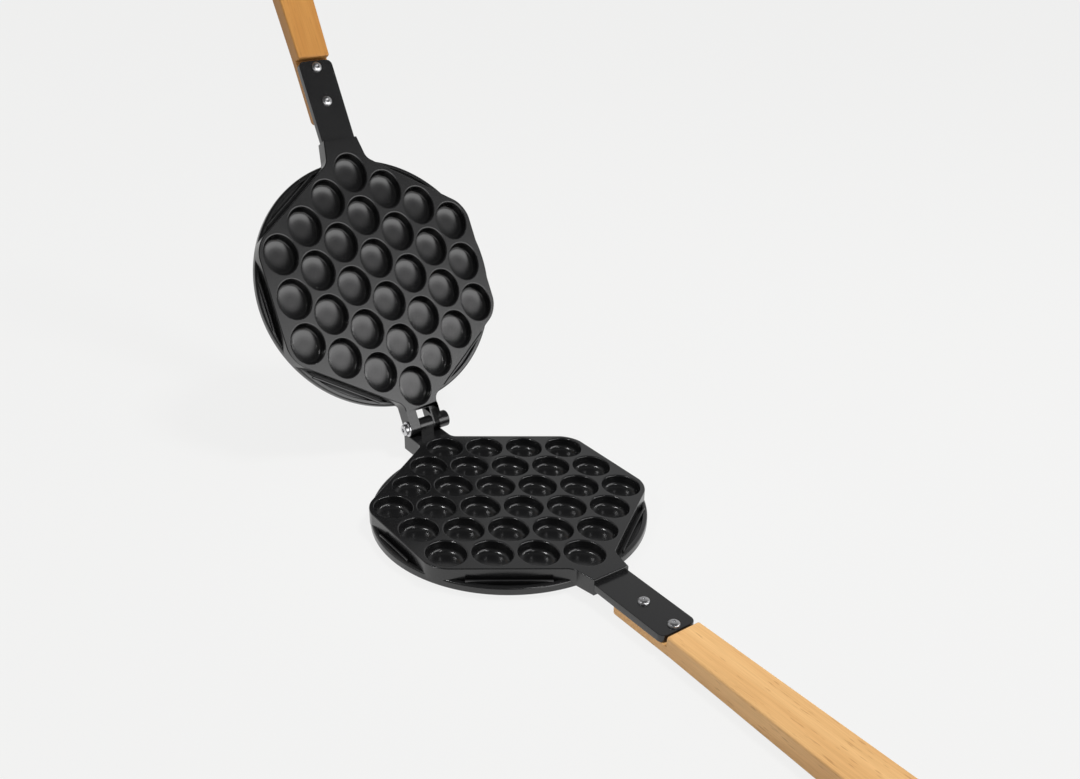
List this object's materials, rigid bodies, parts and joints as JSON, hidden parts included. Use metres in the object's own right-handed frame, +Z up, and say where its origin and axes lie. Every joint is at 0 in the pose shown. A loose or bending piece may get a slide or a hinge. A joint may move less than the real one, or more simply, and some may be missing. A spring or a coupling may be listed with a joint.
{
  "type": "bubble waffle maker",
  "caption": "Hinged stove-top pan for bubble waffles, two cast plates with rounded cells in a hexagon, and wooden handles.",
  "frame": {"origin": "centre of the lower plate's round foot, on the surface it rests on", "axes": "+X along the hinge axis to the right seen from the handle, +Y from the handle to the hinge, +Z up out of the cells of the lower plate"},
  "size_m": [0.188, 0.7282, 0.434],
  "materials": {
    "coated_casting": "dark satin non-stick coating on cast aluminium",
    "handle_wood": "lacquered beech, satin",
    "bright_steel": "plated steel, semi-bright"
  },
  "bodies": {
    "lower": {"lower_plate": "coated_casting", "lower_handle": "handle_wood", "lower_inner_screw": "bright_steel", "lower_outer_screw": "bright_steel", "lower_inner_nut": "bright_steel", "lower_outer_nut": "bright_steel"},
    "upper": {"upper_plate": "coated_casting", "upper_handle": "handle_wood", "upper_inner_screw": "bright_steel", "upper_outer_screw": "bright_steel", "upper_inner_nut": "bright_steel", "upper_outer_nut": "bright_steel", "hinge_bolt": "bright_steel", "hinge_washer": "bright_steel"}
  },
  "joints": [
    {"name": "lid_hinge", "type": "hinge", "parent": "lower", "child": "upper", "pos_m": [0, 0.11201, 0.0225], "axis": [1, 0, 0], "range_deg": [0, 120.7]}
  ]
}
